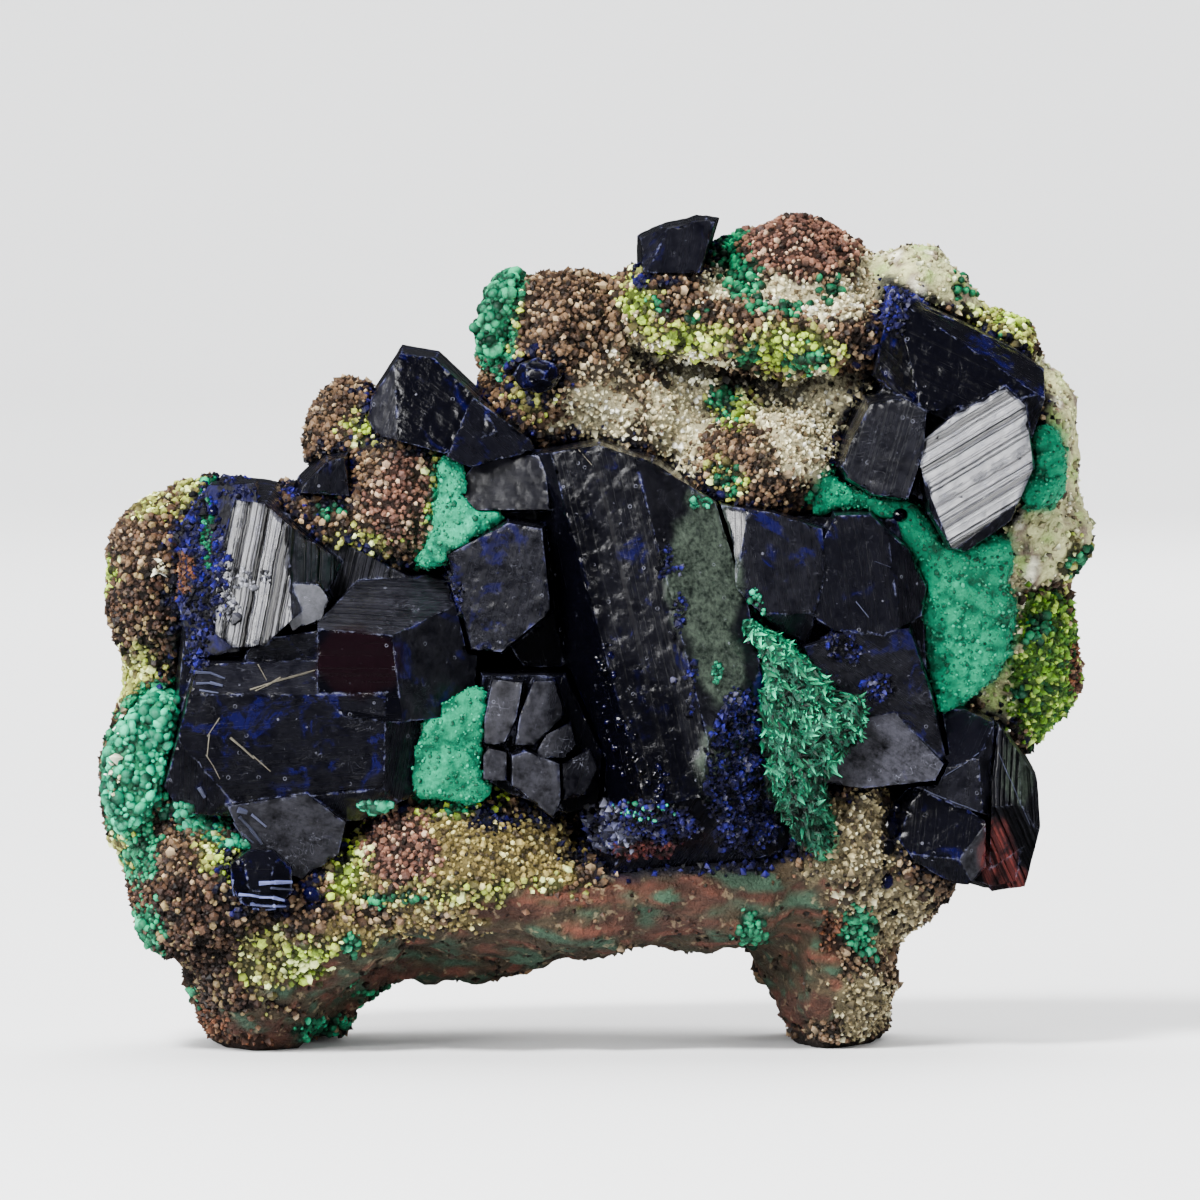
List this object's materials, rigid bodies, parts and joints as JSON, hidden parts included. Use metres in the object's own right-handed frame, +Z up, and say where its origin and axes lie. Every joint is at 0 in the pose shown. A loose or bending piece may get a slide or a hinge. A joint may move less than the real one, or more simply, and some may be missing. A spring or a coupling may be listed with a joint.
{
  "type": "azurite specimen",
  "caption": "Near-black blue azurite crystals with green malachite crusts on a lumpy matrix rock covered in fine druse, standing upright on two broken feet.",
  "frame": {"origin": "middle of the bounding box at the floor that the feet rest on", "axes": "+X to the right seen from the crystal side, +Y to the broken back, +Z up"},
  "size_m": [0.0747, 0.0361, 0.0624],
  "materials": {
    "azurite": "glassy crystal faces, near black with deep blue edges",
    "malachite": "bright green matt crust, silky where fibrous",
    "matrix": "rough rock under brown, yellow-green and cream druse"
  },
  "bodies": {
    "root": {"azurite_bead": "azurite", "azurite_centre": "azurite", "azurite_left": "azurite", "azurite_lower_right": "azurite", "azurite_mosaic": "azurite", "azurite_right": "azurite", "azurite_small_left": "azurite", "azurite_small_lower_left": "azurite", "azurite_top": "azurite", "azurite_top_left": "azurite", "azurite_upper_right": "azurite", "malachite_centre": "malachite", "malachite_fibrous": "malachite", "malachite_knob": "malachite", "malachite_left_edge": "malachite", "malachite_right": "malachite", "malachite_upper_left": "malachite", "malachite_upper_right": "malachite", "matrix_rock": "matrix"}
  },
  "joints": []
}
